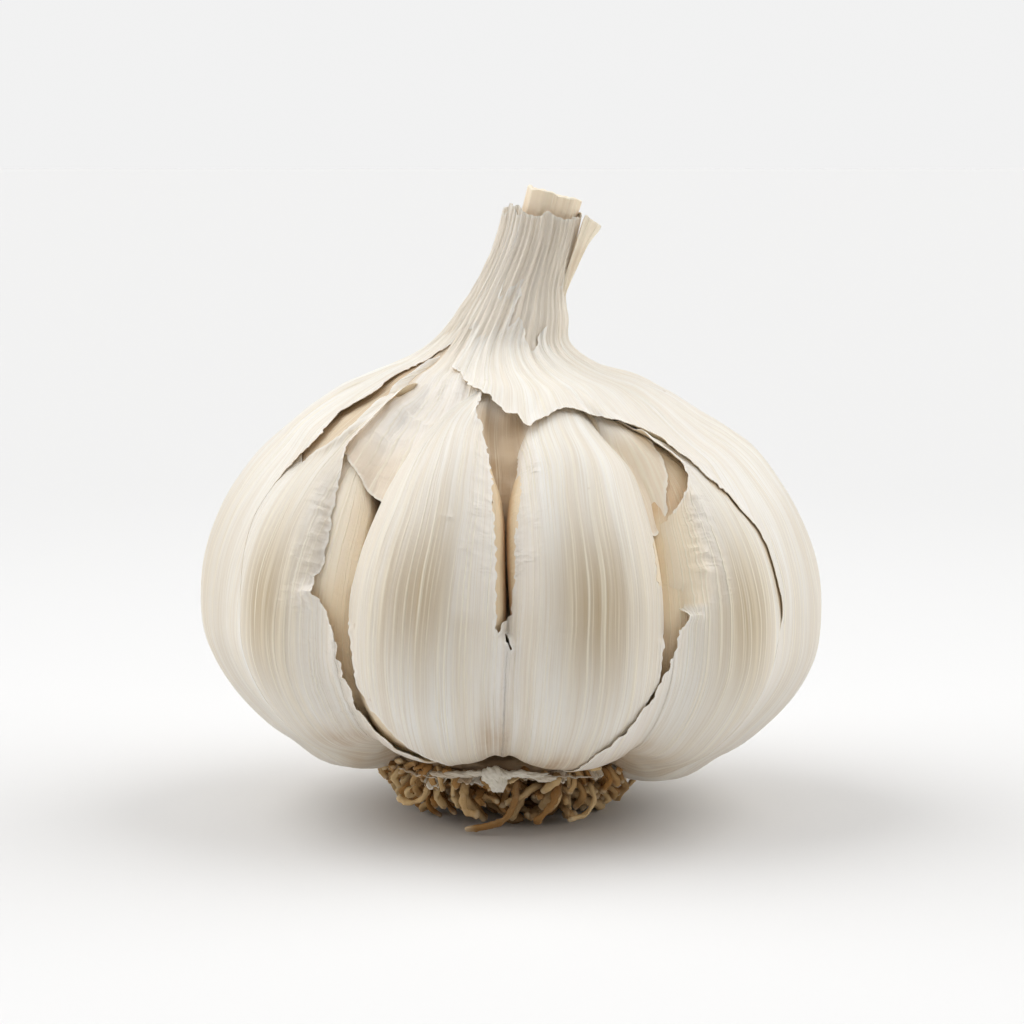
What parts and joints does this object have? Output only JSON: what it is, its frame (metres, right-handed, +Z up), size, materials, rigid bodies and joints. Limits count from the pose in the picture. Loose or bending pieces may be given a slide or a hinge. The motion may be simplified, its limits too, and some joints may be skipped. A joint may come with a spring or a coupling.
{
  "type": "garlic bulb",
  "caption": "Whole dried garlic bulb with torn papery skins over its cloves, a cut neck and trimmed roots, resting upright.",
  "frame": {"origin": "middle of the flat that the trimmed roots rest on", "axes": "+Z up through the neck, -Y towards the side with the split, torn skins, +X towards the side that the neck leans to"},
  "size_m": [0.0594, 0.0582, 0.06],
  "materials": {
    "papery_skin": "satin",
    "inner_skin": "satin",
    "clove_skin": "satin",
    "dry_stalk": "matte",
    "corky_plate": "matte",
    "dry_roots": "matte"
  },
  "bodies": {
    "root": {"basal_plate": "corky_plate", "root_tuft": "dry_roots", "flower_stalk": "dry_stalk", "clove_01": "clove_skin", "clove_02": "clove_skin", "clove_03": "clove_skin", "clove_04": "clove_skin", "clove_05": "clove_skin", "clove_06": "clove_skin", "clove_07": "clove_skin", "clove_08": "clove_skin", "clove_09": "clove_skin", "clove_10": "clove_skin", "clove_11": "clove_skin", "wrapper_outer": "papery_skin", "wrapper_inner": "inner_skin", "wrapper_left": "papery_skin", "wrapper_front": "papery_skin", "wrapper_right": "papery_skin", "neck_flake": "dry_stalk"}
  },
  "joints": []
}
